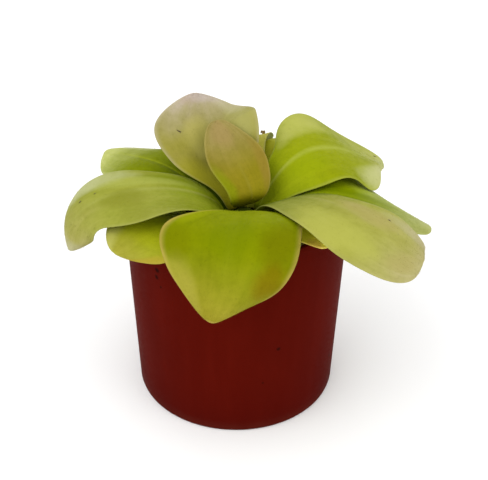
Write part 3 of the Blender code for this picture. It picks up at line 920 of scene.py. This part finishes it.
# Third tier, back: a slim leaf behind the upright one, olive on the side that shows, with
# a dry curled tip
grow(
    "leaf_back",
    sizes=dict(
        tier=0.3, side=85, blunt=6, wave=(0.0004, 2.0, 0.2),
        rise=(0.003, 0.012, 0.096), fall=(0.000, 0.040, 0.096), tip=(0.014, 0.054, 0.082),
        left=(0.003, 0.006, 0.0085, 0.010, 0.0115), right=(0.004, 0.008, 0.008, 0.0075, 0.008),
        roll=(-1, 2, -17), curl_left=(2, 12, -1), curl_right=(2, 15, 19),
    ),
    tones=dict(
        colours=((154, 157, 44), (179, 175, 60), (219, 221, 134), (219, 218, 134), (219, 215, 149)),
        rib=0.25, margin=0.3,
    ),
    tints=[
        ((0.2, 0.6), (0.4, 0.4), 0.5, (165, 157, 60)),
    ],
    glands=600,
)


# Fourth tier, front: the broad leaf that drapes over the rim towards the viewer. It is lime,
# darker in slanting patches, olive low on its right side and yellow low on its left
grow(
    "leaf_front",
    sizes=dict(
        tier=0.5, side=262, blunt=11, wave=(0.0004, 3.0, 0.0),
        rise=(0.000, -0.038, 0.114), fall=(-0.001, -0.070, 0.100), tip=(-0.008, -0.066, 0.074),
        left=(0.0045, 0.021, 0.024, 0.0215, 0.013), right=(0.003, 0.005, 0.0235, 0.0205, 0.0095),
        roll=(6, 11, -6), curl_left=(1, -32, -67), curl_right=(0, 43, -28),
    ),
    tones=dict(
        colours=((135, 145, 19), (117, 126, 1), (149, 141, 42), (131, 138, 20), (184, 157, 83)),
        rib=0.25, margin=0.55,
    ),
    tints=[
        ((0.5, 0.42), (0.24, 0.16), 0.55, (105, 119, 1)),
        ((0.86, 0.44), (0.18, 0.16), 0.7, (102, 104, 1)),
        ((0.86, 0.62), (0.18, 0.14), 0.7, (113, 93, 1)),
        ((0.1, 0.76), (0.2, 0.26), 0.65, (154, 147, 57)),
        ((0.11, 0.48), (0.14, 0.14), 0.6, (109, 114, 1)),
        ((0.06, 0.3), (0.1, 0.1), 0.5, (139, 147, 11)),
    ],
    glands=1400,
)


# Fourth tier, right front: the largest leaf, pale yellow green with a pinkish tan blush along
# its upper side and towards its tip
grow(
    "leaf_right_front",
    sizes=dict(
        tier=0.55, side=322, blunt=10, wave=(0.0004, 3.0, 0.4),
        rise=(0.027, -0.018, 0.113), fall=(0.056, -0.052, 0.096), tip=(0.064, -0.054, 0.091),
        left=(0.004, 0.0055, 0.0135, 0.0195, 0.022), right=(0.004, 0.016, 0.0235, 0.026, 0.024),
        roll=(-15, -7, -9), curl_left=(1, -10, -41), curl_right=(4, -4, -2),
    ),
    tones=dict(
        colours=((68, 90, 2), (156, 156, 68), (168, 160, 107), (163, 157, 91), (167, 163, 102)),
        rib=0.3, margin=0.25,
    ),
    tints=[
        ((0.64, 0.47), (0.22, 0.2), 0.65, (161, 149, 91)),
        ((0.85, 0.7), (0.2, 0.3), 0.55, (178, 169, 134)),
        ((0.18, 0.45), (0.24, 0.25), 0.6, (169, 170, 77)),
        ((0.95, 0.16), (0.3, 0.14), 0.6, (78, 93, 5)),
        ((0.3, 0.8), (0.2, 0.14), 0.4, (161, 147, 88)),
    ],
    glands=1500,
)


# Fifth tier, upper right: a broad lime leaf held up and outwards. Its lower edge is frilled,
# a pale curved rib crosses it, and its upper corner is pale
grow(
    "leaf_right_back",
    sizes=dict(
        tier=0.65, side=20, blunt=13, wave=(0.002, 2.0, 0.0),
        rise=(0.021, 0.002, 0.117), fall=(0.044, 0.030, 0.091), tip=(0.060, 0.025, 0.085),
        left=(0.003, 0.010, 0.025, 0.0275, 0.0235), right=(0.0035, 0.0175, 0.0225, 0.0245, 0.013),
        roll=(8, 5, -11), curl_left=(1, -2, 27), curl_right=(-4, -13, -31),
    ),
    tones=dict(
        # Painted light: the root tone is lifted paler than the middle, against the shade round the crown
        colours=((142, 154, 16), (139, 148, 12), (169, 171, 91), (169, 176, 73), (174, 177, 98)),
        rib=0.55, margin=0.22,
    ),
    tints=[
        ((0.88, 0.42), (0.2, 0.22), 0.6, (186, 186, 103)),
        ((0.12, 0.72), (0.2, 0.3), 0.6, (191, 191, 143)),
        ((0.35, 0.25), (0.22, 0.14), 0.5, (134, 148, 5)),
        ((0.5, 1.0), (0.6, 0.16), 0.45, (186, 191, 140)),
    ],
    glands=1500,
)


# Upper tier, back: a leaf that stands up behind the heart with its right side folded forward.
# It is olive tan, blushed a greyish pink towards its top
grow(
    "leaf_back_upright",
    sizes=dict(
        tier=0.6, side=118, blunt=7, wave=(0.0003, 2.0, 0.0),
        rise=(0.000, 0.000, 0.094), fall=(-0.016, 0.022, 0.102), tip=(-0.016, 0.032, 0.114),
        left=(0.004, 0.009, 0.0215, 0.0235, 0.010), right=(0.004, 0.011, 0.0195, 0.022, 0.0175),
        roll=(-2, 4, 10), curl_left=(0, 12, -7), curl_right=(1, 4, 18),
        fold=(0.1, 45, 0.65),
    ),
    tones=dict(
        colours=((157, 150, 27), (145, 138, 58), (184, 171, 154), (145, 136, 72), (181, 173, 145)),
        rib=0.2, margin=0.3,
    ),
    tints=[
        ((0.12, 0.54), (0.2, 0.26), 0.75, (161, 158, 93)),
        ((0.06, 0.78), (0.22, 0.2), 0.5, (178, 173, 137)),
        # Painted light: this paler patch lifts the shade that the heart leaf casts on the middle
        ((0.58, 0.5), (0.2, 0.22), 0.6, (173, 165, 85)),
        # Painted light: this paler patch low down lifts the shade by the crown
        ((0.86, 0.22), (0.3, 0.2), 0.5, (166, 160, 28)),
        ((0.72, 0.92), (0.34, 0.14), 0.7, (166, 148, 127)),
        ((0.5, 0.95), (0.6, 0.14), 0.6, (184, 171, 163)),
    ],
    glands=1200,
)


# Heart: the youngest open leaf stands in front of the upright one, cupped like a spoon. It is
# olive brown at the base and rosy tan at its tip and edges
grow(
    "leaf_young",
    sizes=dict(
        tier=1.0, side=98, blunt=7, wave=(0.0002, 2.0, 0.0),
        rise=(0.010, -0.023, 0.098), fall=(0.004, -0.005, 0.092), tip=(-0.008, 0.020, 0.108),
        left=(0.004, 0.0085, 0.010, 0.0135, 0.013), right=(0.0035, 0.0045, 0.0095, 0.012, 0.008),
        roll=(-3, -9, -6), curl_left=(-1, 20, 41), curl_right=(0, 49, 46),
    ),
    tones=dict(
        colours=((151, 146, 5), (132, 121, 24), (151, 137, 79), (143, 134, 53), (160, 147, 87)),
        rib=0.25, margin=0.3,
    ),
    tints=[
        ((0.95, 0.36), (0.22, 0.3), 0.6, (120, 135, 5)),
        ((0.54, 0.88), (0.4, 0.18), 0.6, (153, 130, 81)),
        ((0.08, 0.5), (0.16, 0.3), 0.5, (145, 119, 52)),
    ],
    glands=900,
)


# Dry tip: the end of the slim back leaf has dried, turned brown and curled up on itself
DRY_ACROSS, DRY_LENGTH = np.array([-0.20]), np.array([0.79])
DRY_DROP = np.array((0.0006, 0.0, 0.0006))
DRY_CURL, DRY_RADIUS, DRY_WIDTH, DRY_THICK = 4.4, 0.0017, 0.0012, 0.0004
CRINKLE = 0.00025

anchor = blade_points(grown["leaf_back"], DRY_ACROSS, DRY_LENGTH)[0] - DRY_DROP
bm = bmesh.new()
bmesh.ops.create_grid(bm, x_segments=10, y_segments=24, size=1.0)
for vertex in bm.verts:
    across, along = vertex.co.x, (vertex.co.y + 1) / 2
    turn = DRY_CURL * along
    radius = DRY_RADIUS * (1 - 0.5 * along)
    width = DRY_WIDTH * (1 - 0.55 * along) * (1 + 0.25 * math.sin(9 * along))
    crinkle = CRINKLE * math.sin(14 * along + 3 * across)
    vertex.co = (
        anchor[0] + across * width + 0.0008 * math.sin(3 * along),
        anchor[1] - radius * math.sin(turn) + crinkle,
        anchor[2] + DRY_RADIUS - radius * math.cos(turn) + crinkle,
    )
dry, tree, shader = finish("dry_leaf", roughness=0.8, specular=0.15)
place = own_place(tree)
wrinkles = cloud(tree, place, (1.0, 1.0, 0.4), scale=1400.0, detail=4.0, rough=0.6)
withered = blend(tree, wrinkles, paint(88, 66, 26), paint(150, 122, 66))
tree.links.new(withered, shader.inputs["Base Color"])
relief(tree, shader, wrinkles, 0.0002)
dry_tip = placed("dry_tip", bm, [dry])
skin = dry_tip.modifiers.new("Thickness", "SOLIDIFY")
skin.thickness = DRY_THICK
skin.offset = 0.0
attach(dry_tip, "root")


# Stuck gnats: the leaves catch small flies. Five lie glued to the blades as dark specks one to
# two millimetres long, each a body with a head and two folded wings
GNAT_BODY, GNAT_HEAD, GNAT_WING, GNAT_LIFT = 0.00026, 0.00021, 0.00024, 0.0001
# Leaf, place across and along it, heading from its tip towards its left side, and size
GNATS = (
    ("leaf_back_upright", 0.54, 0.57, 0.89, 0.85),
    ("leaf_right_back", 0.72, 0.90, 0.52, 0.6),
    ("leaf_right_front", 0.46, 0.52, 0.0, 0.5),
    ("leaf_left", -0.24, 0.63, 0.27, 0.55),
    ("leaf_left", -0.24, 0.55, 0.32, 0.4),
)

chitin, tree, shader = finish("gnat_body", roughness=0.4, specular=0.4)
shell = cloud(tree, own_place(tree), EVEN, scale=1800.0, detail=2.0)
dark = blend(tree, shell, paint(52, 40, 24), paint(92, 72, 46))
tree.links.new(dark, shader.inputs["Base Color"])
bm = bmesh.new()
bmesh.ops.create_icosphere(bm, subdivisions=2, radius=GNAT_BODY)
bmesh.ops.scale(bm, verts=bm.verts, vec=(1.0, 3.0, 0.8))
head = bmesh.ops.create_icosphere(bm, subdivisions=1, radius=GNAT_HEAD)["verts"]
bmesh.ops.translate(bm, verts=head, vec=(0, 0.00090, 0))
for wing_side in (-1, 1):
    wing = bmesh.ops.create_icosphere(bm, subdivisions=1, radius=GNAT_WING)["verts"]
    bmesh.ops.scale(bm, verts=wing, vec=(0.7, 3.2, 0.12))
    splay = Matrix.Rotation(wing_side * 0.22, 3, "Z")
    bmesh.ops.rotate(bm, verts=wing, cent=(0, 0, 0), matrix=splay)
    bmesh.ops.translate(bm, verts=wing, vec=(wing_side * 0.0002, -0.0006, 0.00016))
gnat_places = []
for node, across, length, heading, size in GNATS:
    ways = blade_ways(grown[node], np.array([across]), np.array([length]))
    here, ahead, left, normal = (vectors[0] for vectors in ways)
    forward = unit(ahead * math.cos(heading) + left * math.sin(heading))
    turn = Matrix((np.cross(forward, normal), forward, normal)).transposed()
    gnat_places.append((here + normal * (skin_height(across) + GNAT_LIFT), turn, size))
gnats = scattered("stuck_gnats", bm, gnat_places, [chitin])
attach(gnats, "root")
